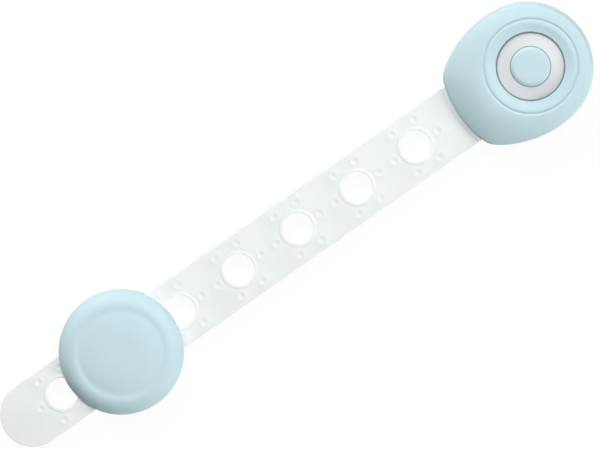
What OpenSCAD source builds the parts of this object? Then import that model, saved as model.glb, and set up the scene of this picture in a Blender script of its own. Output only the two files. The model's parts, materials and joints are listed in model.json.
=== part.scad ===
// Cabinet safety lock: a holed strap plugs into a two-button lock stuck on the cabinet,
// and a round adhesive anchor holds the strap at one of its holes.
// The origin is on the button axis at the cabinet's surface, and +X points away from the strap.

/* [Strap] */
// Width of the strap
strap_w = 20; // [18:0.5:21]
// Thickness of the strap
strap_t = 1.6; // [1.2:0.1:2.4]
// Diameter of the holes that set the length
hole_d = 9.66; // [8.6:0.02:11]
// Distance between neighbouring holes
hole_pitch = 22; // [20.5:0.5:26]
// Number of holes along the strap
hole_count = 7; // [6:1:9]
// Distance from the button axis to the nearest hole
first_hole = 42.8; // [41:0.1:50]
// Distance from the last hole to the middle of the round end
end_reach = 11; // [9:0.5:16]
// Width of the raised rim round each hole
rim_w = 0.9; // [0.5:0.05:1.2]
// Height of that rim above the strap
rim_h = 0.15; // [0.1:0.05:0.4]
// Radius of the ring of dimples round each hole
dimple_ring_r = 8.1; // [7.6:0.1:8.4]
// Diameter of one dimple
dimple_d = 2.4; // [1.6:0.1:2.6]
// Depth of one dimple
dimple_depth = 0.3; // [0.2:0.05:0.5]
// Number of dimples round each hole
dimple_count = 6; // [3:1:8]
// Height of the shoulder at the lock's mouth
shoulder_h = 0.5; // [0.2:0.1:1]
// How far the shoulder stands out of the lock's mouth
shoulder_out = 0.95; // [0.5:0.05:3]

/* [Tongue] */
// Width of the tongue's neck
neck_w = 5.2; // [4:0.1:5.6]
// Width of the arrow head that the latches catch
barb_w = 8.6; // [8:0.1:9.2]
// Where the back of the arrow head stands, past the button axis
barb_back = 1.8; // [1.6:0.1:3]
// Length of the arrow head
barb_len = 4.4; // [3.5:0.1:6]
// Length of the arrow head's straight sides
barb_land = 0.8; // [0.4:0.1:1.6]
// Width of the arrow head's tip
barb_tip_w = 2.4; // [1.5:0.1:4]
// How far the soft strap reaches into the lock's mouth
strap_in = 5.2; // [4:0.1:6]
// Length of the taper from the strap to the neck
taper_len = 4.5; // [2:0.5:8]
// Width of the tongue's root inside the strap
root_w = 12; // [8:0.5:15]
// Thickness of the tongue's root inside the strap
root_t = 0.8; // [0.5:0.1:1]
// Length of the tongue's root inside the strap
root_len = 11.5; // [6:0.5:14]

/* [Lock housing] */
// Radius of the lock's round front
front_r = 20.2; // [19.8:0.1:23]
// How far the front's centre lies behind the button axis
front_back = 1.2; // [0:0.1:2.4]
// Radius of the lock's long side curves
side_r = 33; // [30:0.5:40]
// Angle at which the front runs into the sides
side_from = 81.9; // [75:0.1:88]
// Radius of the lock's nose over the strap
nose_r = 34; // [28:0.5:40]
// Distance from the button axis to the nose
nose_reach = 26.7; // [25.5:0.1:28]
// Sharpness of the corners between sides and nose
corner_power = 60; // [20:1:80]
// Wall thickness of the cover
cover_wall = 1.6; // [1.2:0.1:1.8]
// Radius of the cover's level crown
crown_r = 15.2; // [15.1:0.1:16]
// Slope at which the top leaves the crown towards the front
front_start = 6; // [2:1:12]
// Slope of the top at its front edge
front_end = 10; // [6:1:25]
// Slope at which the top leaves the crown towards the sides
side_start = 14; // [8:1:20]
// Slope of the top at its side edges
side_end = 30; // [20:1:38]
// Slope at which the top leaves the crown towards the strap
nose_start = 4; // [2:1:12]
// Slope of the top at its edge over the strap
nose_end = 42; // [30:1:46]
// Rounding between the cover's top and its walls
cover_edge_r = 1.6; // [1:0.1:2]
// Lean of the cover's walls, so that they leave the mould
wall_lean = 2.5; // [1:0.5:4]
// Radius at which the lip starts to fall towards the buttons
lip_r = 13.5; // [13:0.1:13.9]
// How far the lip falls
lip_drop = 0.5; // [0.3:0.05:0.9]
// Radius of the ring-shaped groove
groove_r = 14.65; // [14.4:0.05:14.7]
// Width of the groove
groove_w = 0.8; // [0.4:0.05:0.8]
// Depth of the groove
groove_depth = 0.3; // [0.2:0.05:0.5]
// Thickness of the bore's collar
collar_t = 1.35; // [0.8:0.05:1.6]

/* [Base and pads] */
// Thickness of the adhesive pads
pad_t = 1; // [0.6:0.1:2]
// How far the pads stay inside what they hold
pad_inset = 0.8; // [0.3:0.1:3]
// Thickness of the base's floor and the anchor's flange
floor_t = 1.8; // [1.5:0.1:3]
// How far the cover's edge stays above the pad
edge_lift = 0.2; // [0.1:0.05:0.6]
// Radius of the ring on which the screws stand
screw_ring_r = 13.8; // [13.6:0.1:14]
// Radius of the cover's screw bosses
boss_r = 2.1; // [1.7:0.1:2.2]
// Radius of the base's screw pillars
pillar_r = 2.7; // [2.6:0.05:2.8]
// Radius of a screw's shank
screw_r = 1; // [0.8:0.05:1.1]
// Radius of a screw's head
screw_head_r = 1.9; // [1.5:0.05:2]
// Height of a screw's head
screw_head_h = 1.3; // [0.9:0.05:1.4]
// Length of thread in a cover boss
screw_bite = 4.4; // [3:0.1:4.6]
// Thickness of the base's ribs and rails
rib_t = 0.9; // [0.7:0.05:1.2]
// Height of the guide rails above the floor
rail_h = 1.6; // [1:0.1:1.7]
// Height of the two walls that stop the strap
stop_h = 3.2; // [2:0.1:4]

/* [Buttons] */
// Outer diameter of the ring button
ring_d = 20.3; // [19.8:0.1:20.6]
// Gap between the ring button and the cover
bore_gap = 0.5; // [0.2:0.05:0.6]
// Diameter of the centre button
centre_d = 12.4; // [12:0.1:12.6]
// Gap between the two buttons
button_gap = 0.1; // [0.1:0.05:0.25]
// Travel of each button
press = 2; // [1.8:0.1:2.4]
// Height of the ring button above its skirt's edge
ring_h = 3.9; // [3.5:0.1:4.6]
// How far the ring button's crown lies below the cover's crown
ring_drop = 0.8; // [0.2:0.1:1.2]
// How far the ring button falls from its inner to its outer edge
ring_slope = 0.7; // [0.2:0.05:0.9]
// Rounding of the ring button's outer edge
ring_edge_r = 0.5; // [0.2:0.05:0.6]
// How far the centre button stands above the ring button
centre_proud = 1.2; // [0.6:0.1:1.6]
// Rounding of the centre button's edge
centre_edge_r = 1.8; // [1:0.1:2.2]
// Thickness of the buttons' tops
button_top_t = 1.6; // [1.2:0.1:1.8]
// Thickness of the ring button's inner wall
ring_in_wall = 0.8; // [0.6:0.05:0.85]
// Thickness of the ring button's outer wall
ring_out_wall = 1.2; // [1:0.05:1.3]
// Thickness of the centre button's wall
centre_wall = 1.2; // [0.9:0.05:1.3]
// Height of the flange that keeps the ring button in the cover
keep_h = 2; // [1.4:0.05:2.1]
// How far that flange reaches past the cover's bore
keep_reach = 0.6; // [0.3:0.05:0.65]
// Width of a snap leg or guide leg
leg_w = 2.2; // [1.6:0.1:2.4]
// Thickness of the centre button's snap legs
snap_t = 0.9; // [0.7:0.05:1]
// How far a snap leg's hook reaches
hook_reach = 0.45; // [0.3:0.05:0.5]
// Height of a snap leg's hook
hook_h = 0.8; // [0.6:0.05:1.2]
// Thickness of the button frame's plate
frame_t = 1.2; // [1:0.05:1.6]
// Radius of the button frame's plate
frame_r = 11.6; // [11.4:0.1:12]

/* [Latches] */
// Sideways travel of a latch for each millimetre of press
wedge_ratio = 0.75; // [0.7:0.01:0.85]
// Gap between the neck and a latch's nose
nose_gap = 0.55; // [0.3:0.05:0.6]
// Length of a latch along the strap
latch_l = 5.2; // [5:0.1:5.6]
// Length of a latch's nose along the strap
nose_l = 2.5; // [2:0.1:2.6]
// Where a latch's body ends, from the strap's middle
latch_out = 10.5; // [10:0.1:11]
// Distance from the strap's middle to a latch's body
latch_in = 5; // [4.8:0.05:5.2]
// Where the walls behind the latch springs stand, from the strap's middle
wall_y = 15.5; // [15:0.1:15.8]
// How far a latch's top stands above the wedge legs' tips
latch_rise = 0.25; // [0.15:0.05:0.5]
// Gap between a latch's nose and the wedge leg behind it
leg_behind = 0.4; // [0.2:0.05:0.6]
// Thickness of a wedge leg's tip
tip_t = 0.4; // [0.3:0.05:0.5]
// Thickness of the centre button's wedge leg
wedge_neck_t = 0.8; // [0.6:0.05:1]
// Distance from the strap's middle to the centre button's wedge leg
right_wedge_in = 2.7; // [2.6:0.05:2.8]
// Distance from the strap's middle to the ring button's wedge leg
left_wedge_in = 6; // [5.9:0.05:6.1]

/* [Springs] */
// Wire diameter of the button springs
button_wire = 0.5; // [0.35:0.05:0.55]
// Mean radius of the ring button's spring
ring_spring_r = 8.2; // [8.15:0.05:8.4]
// Turns of the ring button's spring
ring_turns = 3; // [2:0.5:3.5]
// Mean radius of the centre button's spring
centre_spring_r = 2.1; // [1.9:0.05:2.2]
// Turns of the centre button's spring
centre_turns = 4; // [3:0.5:4.5]
// Wire diameter of the latch springs
latch_wire = 0.4; // [0.3:0.05:0.45]
// Mean radius of the latch springs
latch_spring_r = 1.45; // [1.3:0.05:1.55]
// Turns of a latch spring
latch_turns = 5; // [4:0.5:5.5]
// Thickness of the wall that centres the ring button's spring
seat_ring_t = 0.35; // [0.3:0.05:0.4]
// Height of the wall and the pin that centre the button springs
seat_ring_h = 0.8; // [0.5:0.05:1.2]
// Length of the pin on a latch that centres its spring
latch_pin = 1.1; // [0.8:0.1:1.5]
// Length of the pin on the wall behind that spring
wall_pin = 1.6; // [1:0.1:1.9]
// Thickness of that wall
wall_t = 1.2; // [0.8:0.1:1.4]
// Play at each end of a spring
spring_play = 0.025; // [0.01:0.005:0.05]

/* [Anchor] */
// Which hole the anchor stands in, counted from the lock
anchor_hole = 6; // [2:1:6]
// Diameter of the cap
cap_d = 38.4; // [38:0.1:41]
// Height of the cap's middle above the cabinet
cap_h = 10.6; // [10.4:0.1:13]
// Radius of the level middle of the cap
cap_flat_r = 4.6; // [3:0.1:6]
// Radius of the arc in which the cap's top falls away
cap_dome_r = 40; // [36:1:80]
// Distance from the cap's side in to the end of that arc
dome_inset = 7; // [6.6:0.1:7.6]
// Width of the narrow ledge outside the arc
ledge_w = 1.6; // [1:0.1:2]
// How far the ledge falls
ledge_fall = 0.15; // [0.05:0.05:0.2]
// Height of the cap's rounded edge
cap_edge_h = 6.2; // [5:0.1:6.8]
// Wall thickness of the cap
cap_wall = 1.75; // [1.2:0.05:1.9]
// Radius of the anchor post's core hole
core_r = 2.6; // [2:0.1:3]
// Thickness of the insert's plate
insert_t = 1.45; // [1:0.05:1.6]
// How far the insert's plate stays inside the cap's wall
insert_inset = 3.05; // [2.6:0.05:3.5]
// Wall thickness of the insert's socket
socket_wall = 1.5; // [1:0.05:2]
// How deep the post goes into the socket, above the strap
socket_depth = 3; // [2.4:0.1:3.2]
// Thickness of the socket's closed top
socket_roof = 0.6; // [0.4:0.05:0.8]
// Thickness of the cap's inner ring walls
seat_wall = 1; // [0.8:0.05:1.1]

/* [Fits] */
// Gap between pieces that run on each other
run_gap = 0.1; // [0.06:0.01:0.12]
// Gap above and below the strap
slide_gap = 0.2; // [0.12:0.01:0.25]
// Gap round legs in their slots and latches in their rails
slot_gap = 0.15; // [0.1:0.01:0.2]
// Gap between the arrow head and the rails beside its way in
throat_gap = 0.45; // [0.3:0.05:0.6]
// Gap round a screw's thread in its boss
thread_gap = 0.05; // [0.02:0.01:0.1]
// How far the ring button's legs stand behind its inner face
leg_relief = 0.05; // [0.02:0.01:0.1]
// Gap round the strap in the mouth and in the cap
mouth_gap = 0.3; // [0.2:0.05:0.5]
// Gap between the anchor's post and the insert's socket
post_gap = 0.06; // [0.03:0.01:0.1]
// Gap between the anchor's post and the strap's hole
hole_gap = 0.23; // [0.15:0.01:0.3]

/* [Hidden] */
$fn = 64;
// Overlap that joins the pieces of one solid
sink = 0.2;
// Extra reach of a cut past the face that it opens
past = 1;
// Depth by which a cut passes a face that it would only touch
skim = 0.01;

// Heights, from the cabinet up
floor_top = pad_t + floor_t;
edge_z = pad_t + edge_lift;
strap_z = floor_top + slide_gap;
strap_top = strap_z + strap_t;
rim_top = strap_top + rim_h;
mouth_top = strap_top + shoulder_h + mouth_gap;
hook_low = strap_top + run_gap + press;
leg_tip_z = hook_low + run_gap;
frame_z = hook_low + hook_h + run_gap;
frame_top = frame_z + frame_t;
skirt_z = frame_top + press + run_gap;
keep_top = skirt_z + keep_h;
collar_z = keep_top + run_gap;
ring_top = skirt_z + ring_h;
cover_top = ring_top + ring_drop;
centre_top = ring_top + centre_proud;
ring_ceiling = ring_top - button_top_t;
centre_ceiling = centre_top - centre_edge_r - button_top_t / 2;
latch_z = floor_top + run_gap;
nose_top = strap_top + run_gap / 2;
ramp_z = strap_top + slot_gap;
latch_top = leg_tip_z + latch_rise;

// Radii and places
hole_r = hole_d / 2;
half_w = strap_w / 2;
ring_r = ring_d / 2;
bore_r = ring_r + bore_gap;
centre_r = centre_d / 2;
ring_in_r = centre_r + button_gap;
inner_wall_r = ring_in_r + ring_in_wall;
keep_r = bore_r + keep_reach;
seat_ring_r = inner_wall_r + slot_gap;
anchor_x = -(first_hole + (anchor_hole - 1) * hole_pitch);
strap_end = nose_reach - strap_in;
end_x = -(first_hole + (hole_count - 1) * hole_pitch + end_reach);
screw_angles = [0, 125, -125];
guide_angles = [225, 345];
snap_angles = [60, 180, 300];

// Wedges: a leg's slanted face draws a latch aside as the leg goes down
latch_front = barb_back - slide_gap;
latch_rear = latch_front - latch_l;
nose_tip = neck_w / 2 + nose_gap;
nose_rear = latch_front - nose_l;
ramp_h = press - run_gap;
leg_front = nose_rear - leg_behind;
leg_rear = latch_rear + run_gap;
latch_spring_x = (latch_front + latch_rear) / 2;
latch_spring_z = latch_z + latch_spring_r + latch_wire;
pin_r = latch_spring_r - latch_wire - run_gap;

// Outline of the lock, as a distance from the front's centre at each angle
function ray_to_circle(c, r, a) =
    let (d = c[0] * cos(a) + c[1] * sin(a))
    d + sqrt(d * d - c * c + r * r);
side_centre = (side_r - front_r) * [cos(180 + side_from), sin(180 + side_from)];
nose_centre = [nose_r - (nose_reach - front_back), 0];
function rear_reach(a) =
    let (side = ray_to_circle(side_centre, side_r, a), nose = ray_to_circle(nose_centre, nose_r, a))
    pow(pow(side, -corner_power) + pow(nose, -corner_power), -1 / corner_power);
function outline_r(a) = a <= side_from ? front_r : rear_reach(a);
outline_n = 72;
outline_angles = [for (i = [0 : outline_n - 1]) i * 360 / outline_n];
function outline_point(a, inset) =
    let (r = outline_r(a > 180 ? 360 - a : a) - inset)
    [r * cos(a) - front_back, r * sin(a)];
function lock_outline(inset) = [for (a = outline_angles) outline_point(a, inset)];

// A value between those for the front, the sides and the nose, at one turn round the cover
function blend(a, front, side, nose) =
    (cos(a) > 0 ? front : nose) * pow(cos(a), 2) + side * pow(sin(a), 2);

// One upright section of the cover: distances out from the crown, and heights.
// From the foot up it is a leaning wall, a rounded edge and a top that flattens towards the crown.
edge_n = 3;
dome_n = 5;
rise_n = edge_n + dome_n + 1;
function cover_section(a, inset) =
    let (span = norm(outline_point(a, inset) - (crown_r - inset) * [cos(a), sin(a)]))
    let (start = tan(blend(a, front_start, side_start, nose_start)))
    let (last = blend(a, front_end, side_end, nose_end))
    let (steep = 90 - wall_lean, lean = tan(wall_lean), mean = (start + tan(last)) / 2)
    let (edge_run = cover_edge_r * (sin(steep) - sin(last)))
    let (edge_fall = cover_edge_r * (cos(last) - cos(steep)))
    let (top = cover_top - inset)
    let (wall_h = (top - edge_z - edge_fall - mean * (span - edge_run)) / (1 - mean * lean))
    let (dome = span - edge_run - wall_h * lean)
    concat(
        [[span, edge_z]],
        [for (i = [0 : edge_n])
            let (tilt = steep + (last - steep) * i / edge_n)
            [dome + cover_edge_r * (sin(tilt) - sin(last)),
                edge_z + wall_h + cover_edge_r * (cos(tilt) - cos(steep))]],
        [for (i = [1 : dome_n])
            let (u = 1 - i / dome_n)
            [dome * u, top - dome * u * (start + (tan(last) - start) * u / 2)]]);
function cover_ring(inset, j) = [for (a = outline_angles)
    let (top = (crown_r - inset) * [cos(a), sin(a)], foot = outline_point(a, inset))
    let (place = cover_section(a, inset)[j], p = top + (foot - top) / norm(foot - top) * place[0])
    [p[0], p[1], place[1]]];
function wall_faces(first, levels, flip) = [
    for (j = [0 : levels - 1], i = [0 : outline_n - 1])
        let (k = (i + 1) % outline_n, low = first + j * outline_n, high = low + outline_n)
        let (tri = [[low + i, high + i, high + k], [low + i, high + k, low + k]])
        for (t = tri) flip ? [t[2], t[1], t[0]] : t];
function cap_face(first, flip) = [for (i = [0 : outline_n - 1]) first + (flip ? i : outline_n - 1 - i)];

// Points and faces of a round wire wound into a spring along Z
wire_sides = 6;
turn_rings = 16;
function spring_point(r, pitch, a) = [r * cos(a), r * sin(a), pitch * a / 360];
function spring_ring(r, wire, pitch, a) =
    let (run = [-sin(a) * r * PI * 2, cos(a) * r * PI * 2, pitch], out = [cos(a), sin(a), 0])
    let (up = cross(run / norm(run), out))
    [for (s = [0 : wire_sides - 1])
        let (b = s * 360 / wire_sides)
        spring_point(r, pitch, a) + wire / 2 * (cos(b) * out + sin(b) * up)];
// Least distance between points of the wire that lie most of a turn apart or more
function spring_gap(points, rings) = min([
    for (k = [0 : rings - turn_rings + 1], m = [k + turn_rings - 1 : rings],
            s = [0 : wire_sides - 1], t = [0 : wire_sides - 1])
        norm(points[k * wire_sides + s] - points[m * wire_sides + t])]);

module block(x, y, z) {
    translate([x[0], y[0], z[0]]) cube([x[1] - x[0], y[1] - y[0], z[1] - z[0]]);
}

module tube(r_out, r_in, z) {
    translate([0, 0, z[0]]) difference() {
        cylinder(r = r_out, h = z[1] - z[0]);
        translate([0, 0, -past]) cylinder(r = r_in, h = z[1] - z[0] + 2 * past);
    }
}

// A profile in the YZ plane, drawn out along X
module across(x) {
    translate([x[0], 0, 0]) rotate([90, 0, 90]) linear_extrude(x[1] - x[0]) children();
}

module spring(r, wire, length, turns) {
    pitch = (length - wire) / turns;
    rings = turns * turn_rings;
    points = [for (k = [0 : rings]) each spring_ring(r, wire, pitch, k * 360 / turn_rings)];
    echo(spring_gap = spring_gap(points, rings));
    sides = [for (k = [0 : rings - 1], s = [0 : wire_sides - 1])
        let (t = (s + 1) % wire_sides, low = k * wire_sides, high = low + wire_sides)
        each [[low + s, high + t, low + t], [low + s, high + s, high + t]]];
    last = rings * wire_sides;
    ends = [for (s = [1 : wire_sides - 2])
        each [[0, s, s + 1], [last, last + s + 1, last + s]]];
    translate([0, 0, wire / 2]) polyhedron(points, concat(sides, ends), convexity = 10);
}

module at_screws() {
    for (a = screw_angles) rotate(a) translate([screw_ring_r, 0, 0]) children();
}

// The slanted end of a wedge leg on the +Y side
module wedge_end(y_in) {
    outer = y_in + tip_t;
    across([leg_rear, leg_front]) polygon([
        [y_in, leg_tip_z], [outer, leg_tip_z],
        [outer + wedge_ratio * ramp_h, leg_tip_z + ramp_h], [y_in, leg_tip_z + ramp_h]]);
}

// Legs in line with the ring button's inner wall, made wider by grow for their slots
module wall_leg(grow, z) {
    intersection() {
        tube(inner_wall_r + grow, ring_in_r + leg_relief - grow, z);
        children();
    }
}

module ring_guides(grow, z) {
    for (a = guide_angles) wall_leg(grow, z) rotate(a)
        block([0, ring_r], [-leg_w / 2 - grow, leg_w / 2 + grow], z);
}

module ring_wedge_neck(grow, z) {
    wall_leg(grow, z) block([leg_rear - grow, leg_front + grow], [0, ring_r], z);
}

// The floor stays inside the cover's wall, which leans inwards as it rises
floor_inset = cover_wall + slot_gap + (floor_top - edge_z) * tan(wall_lean);

module lock_pad() {
    color("gainsboro") linear_extrude(pad_t) polygon(lock_outline(floor_inset + pad_inset));
}

module lock_base() {
    rail_z = [floor_top - sink, floor_top + rail_h];
    throat = barb_w / 2 + throat_gap;
    color("whitesmoke") difference() {
        union() {
            translate([0, 0, pad_t]) linear_extrude(floor_t) polygon(lock_outline(floor_inset));
            // Sill under the strap, level with the cover's wall
            translate([0, 0, pad_t]) linear_extrude(floor_t) intersection() {
                polygon(lock_outline(slot_gap));
                translate([-nose_reach, -half_w]) square([nose_reach - strap_end, strap_w]);
            }
            at_screws() translate([0, 0, pad_t]) cylinder(r = pillar_r, h = frame_z - pad_t);
            for (flip = [0, 1]) mirror([0, flip, 0]) {
                // Wall that stops the strap, then a rail beside the tongue's way in
                block([slide_gap - strap_end, slide_gap - strap_end + rib_t], [throat, half_w],
                    [floor_top - sink, floor_top + stop_h]);
                block([slide_gap - strap_end, latch_rear - slot_gap], [throat, throat + rib_t], rail_z);
                // Rails on both sides of the latch, and the wall behind its spring
                for (x = [latch_rear - slot_gap - rib_t, latch_front + slot_gap])
                    block([x, x + rib_t], [throat, latch_out + press], rail_z);
                block([latch_rear, latch_front], [wall_y, wall_y + wall_t],
                    [floor_top - sink, latch_spring_z + latch_spring_r]);
                translate([latch_spring_x, wall_y + sink, latch_spring_z])
                    rotate([90, 0, 0]) cylinder(r = pin_r, h = wall_pin + sink);
            }
        }
        at_screws() {
            translate([0, 0, pad_t - past])
                cylinder(r = screw_head_r + run_gap, h = past + screw_head_h + edge_lift);
            translate([0, 0, pad_t]) cylinder(r = screw_r + run_gap, h = frame_z);
        }
    }
}

module button_frame() {
    color("white") difference() {
        union() {
            translate([0, 0, frame_z]) linear_extrude(frame_t) {
                circle(frame_r);
                at_screws() circle(pillar_r);
            }
            translate([0, 0, frame_top - sink])
                cylinder(r = centre_spring_r - button_wire - run_gap, h = sink + seat_ring_h);
            tube(seat_ring_r + seat_ring_t, seat_ring_r, [frame_top - sink, frame_top + seat_ring_h]);
        }
        through = [frame_z - past, frame_top + past];
        at_screws() translate([0, 0, frame_z - past])
            cylinder(r = screw_r + run_gap, h = frame_t + 2 * past);
        ring_guides(slot_gap, through);
        ring_wedge_neck(slot_gap, through);
        for (a = snap_angles) rotate(a)
            block([centre_r - centre_wall - slot_gap, centre_r - centre_wall + snap_t + slot_gap],
                [-leg_w / 2 - slot_gap, leg_w / 2 + slot_gap], through);
        wedge_t = tip_t + wedge_ratio * ramp_h;
        slot_x = [leg_rear - slot_gap, leg_front + slot_gap];
        block(slot_x, [left_wedge_in - slot_gap, left_wedge_in + wedge_t + slot_gap], through);
        block(slot_x, [-right_wedge_in - wedge_t - slot_gap, -right_wedge_in + slot_gap], through);
    }
}

module cover_shell() {
    levels = rise_n + 1;
    inner = levels * outline_n;
    points = concat(
        [for (j = [0 : rise_n]) each cover_ring(0, j)],
        [for (j = [0 : rise_n]) each cover_ring(cover_wall, j)]);
    rim = [for (i = [0 : outline_n - 1])
        let (k = (i + 1) % outline_n)
        each [[i, k, inner + k], [i, inner + k, inner + i]]];
    polyhedron(points, concat(
        wall_faces(0, rise_n, false), wall_faces(inner, rise_n, true), rim,
        [cap_face(rise_n * outline_n, false), cap_face(inner + rise_n * outline_n, true)]), convexity = 6);
}

lip_n = 6;

module lock_cover() {
    // The lip falls in a wave, level where it leaves the crown and where it meets the bore
    lip = [for (i = [0 : lip_n])
        [lip_r + (bore_r - lip_r) * i / lip_n, cover_top - lip_drop * (1 - cos(180 * i / lip_n)) / 2]];
    groove_arc_r = (groove_w * groove_w / 4 + groove_depth * groove_depth) / (2 * groove_depth);
    boss_top = cover_top - cover_wall + sink;
    color([0.72, 0.84, 0.88]) difference() {
        union() {
            cover_shell();
            tube(bore_r + collar_t, bore_r, [collar_z, cover_top - cover_wall + sink]);
            at_screws() translate([0, 0, frame_top]) cylinder(r = boss_r, h = boss_top - frame_top);
        }
        rotate_extrude() polygon(concat([[lip_r, cover_top + past]], lip,
            [[0, cover_top - lip_drop], [0, cover_top + past]]));
        translate([0, 0, collar_z - past]) cylinder(r = bore_r, h = cover_top - collar_z + 2 * past);
        translate([0, 0, cover_top]) rotate_extrude()
            translate([groove_r, groove_arc_r - groove_depth]) circle(groove_arc_r);
        at_screws() translate([0, 0, frame_top - past])
            cylinder(r = screw_r + thread_gap, h = past + screw_bite + run_gap);
        block([-nose_reach - past, -strap_end + past], [-half_w - mouth_gap, half_w + mouth_gap],
            [edge_z - past, mouth_top]);
    }
}

module cover_screws() {
    head_z = pad_t + edge_lift;
    color("silver") at_screws() {
        translate([0, 0, head_z]) cylinder(r = screw_head_r, h = screw_head_h);
        translate([0, 0, head_z]) cylinder(r = screw_r, h = frame_top + screw_bite - head_z);
    }
}

module ring_button() {
    edge = [ring_r - ring_edge_r, ring_top - ring_slope - ring_edge_r];
    color("white") union() {
        rotate_extrude() polygon(concat(
            [[ring_in_r, skirt_z], [inner_wall_r, skirt_z], [inner_wall_r, ring_ceiling]],
            [[ring_r - ring_out_wall, ring_ceiling], [ring_r - ring_out_wall, skirt_z]],
            [[keep_r, skirt_z], [keep_r, keep_top], [ring_r, keep_top]],
            [for (a = [0 : 15 : 90]) edge + ring_edge_r * [cos(a), sin(a)]],
            [[ring_in_r + ring_edge_r, ring_top], [ring_in_r, ring_top - ring_edge_r / 2]]));
        ring_guides(0, [frame_z + run_gap, skirt_z + sink]);
        wedge_end(left_wedge_in);
        ring_wedge_neck(0, [leg_tip_z + ramp_h - sink, skirt_z + sink]);
    }
}

module ring_spring() {
    color("silver") translate([0, 0, frame_top + spring_play])
        spring(ring_spring_r, button_wire, ring_ceiling - frame_top - 2 * spring_play, ring_turns);
}

module centre_button() {
    inner_r = centre_r - centre_wall;
    shoulder_z = centre_top - centre_edge_r;
    hook_r = inner_r + snap_t + hook_reach;
    color([0.75, 0.86, 0.89]) union() {
        rotate_extrude() {
            difference() {
                translate([0, skirt_z]) square([centre_r, shoulder_z - skirt_z]);
                translate([0, skirt_z - past]) square([inner_r, centre_ceiling - skirt_z + past]);
            }
            translate([0, shoulder_z - sink]) square([centre_r - centre_edge_r, centre_edge_r + sink]);
            intersection() {
                translate([centre_r - centre_edge_r, shoulder_z]) circle(centre_edge_r);
                translate([0, shoulder_z - sink]) square([centre_r, centre_edge_r + sink]);
            }
        }
        for (a = snap_angles) rotate(a) {
            block([inner_r, inner_r + snap_t], [-leg_w / 2, leg_w / 2], [hook_low, skirt_z + sink]);
            translate([0, leg_w / 2, 0]) rotate([90, 0, 0]) linear_extrude(leg_w) polygon([
                [inner_r + snap_t - sink, hook_low], [inner_r + snap_t, hook_low],
                [hook_r, hook_low + hook_h / 2], [hook_r, hook_low + hook_h],
                [inner_r + snap_t - sink, hook_low + hook_h]]);
        }
        mirror([0, 1, 0]) {
            wedge_end(right_wedge_in);
            block([leg_rear, leg_front], [right_wedge_in, right_wedge_in + wedge_neck_t],
                [leg_tip_z + ramp_h - sink, centre_ceiling + sink]);
        }
    }
}

module centre_spring() {
    color("silver") translate([0, 0, frame_top + spring_play])
        spring(centre_spring_r, button_wire, centre_ceiling - frame_top - 2 * spring_play, centre_turns);
}

// A latch on the +Y side, whose ramp meets a wedge leg that starts at wedge_in
module latch(wedge_in) {
    ramp_at = wedge_in + tip_t + run_gap;
    ramp_foot = ramp_at + wedge_ratio * (ramp_z - leg_tip_z);
    ramp_head = ramp_at + wedge_ratio * (latch_top + past - leg_tip_z);
    ramp_x = [latch_rear, nose_rear - slot_gap];
    difference() {
        union() {
            translate([0, 0, latch_z]) linear_extrude(nose_top - latch_z) polygon([
                [nose_rear, nose_tip + nose_l / 2], [nose_rear + nose_l / 2, nose_tip],
                [latch_front, nose_tip], [latch_front, latch_in + sink], [nose_rear, latch_in + sink]]);
            block([latch_rear, latch_front], [latch_in, latch_out], [latch_z, latch_top]);
            if (ramp_foot < latch_in) block(ramp_x, [ramp_foot, latch_in + sink], [ramp_z, latch_top]);
            translate([latch_spring_x, latch_out - sink, latch_spring_z])
                rotate([-90, 0, 0]) cylinder(r = pin_r, h = latch_pin + sink);
        }
        across([latch_rear - past, nose_rear - slot_gap]) polygon([
            [ramp_foot - past, ramp_z - skim], [ramp_foot, ramp_z - skim],
            [ramp_head, latch_top + past], [ramp_foot - past, latch_top + past]]);
    }
}

module latch_spring() {
    translate([latch_spring_x, latch_out + spring_play, latch_spring_z]) rotate([-90, 0, 0])
        spring(latch_spring_r, latch_wire, wall_y - latch_out - 2 * spring_play, latch_turns);
}

module left_latch() {
    color("ivory") latch(left_wedge_in);
}

module left_latch_spring() {
    color("silver") latch_spring();
}

module right_latch() {
    color("ivory") mirror([0, 1, 0]) latch(right_wedge_in);
}

module right_latch_spring() {
    color("silver") mirror([0, 1, 0]) latch_spring();
}

// Plan of the tongue's root, which fills the pocket in the strap's end
module root_plan() {
    translate([-strap_end - root_len, -root_w / 2]) square([root_len, root_w]);
}

module at_holes() {
    for (k = [0 : hole_count - 1]) translate([-first_hole - k * hole_pitch, 0, 0]) children();
}

// Rounded rim that stands up round a hole
module hole_rim() {
    rim_arc_r = (rim_w * rim_w / 4 + rim_h * rim_h) / (2 * rim_h);
    rotate_extrude() intersection() {
        translate([hole_r + rim_w / 2, rim_top - rim_arc_r]) circle(rim_arc_r);
        translate([0, strap_top - sink]) square([hole_r + rim_w, sink + rim_h]);
    }
}

module strap() {
    shoulder_r = nose_r + shoulder_out;
    color("white") difference() {
        union() {
            at_holes() hole_rim();
            translate([0, 0, strap_z]) linear_extrude(strap_t) {
                translate([end_x, -half_w]) square([-strap_end - end_x, strap_w]);
                translate([end_x, 0]) circle(half_w);
            }
            translate([0, 0, strap_top - sink]) linear_extrude(sink + shoulder_h) intersection() {
                translate([nose_centre[0] - front_back, 0]) circle(shoulder_r);
                translate([-shoulder_r - front_back, -half_w])
                    square([shoulder_r + front_back - strap_end, strap_w]);
            }
        }
        at_holes() {
            translate([0, 0, strap_z - past]) cylinder(r = hole_r, h = strap_t + 2 * past);
            for (d = [0 : dimple_count - 1]) rotate(d * 360 / dimple_count)
                translate([dimple_ring_r, 0, strap_top - dimple_depth])
                    cylinder(d1 = dimple_d / 2, d2 = dimple_d, h = dimple_depth + skim);
        }
        translate([0, 0, strap_z + (strap_t - root_t) / 2]) linear_extrude(root_t) root_plan();
    }
}

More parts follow.
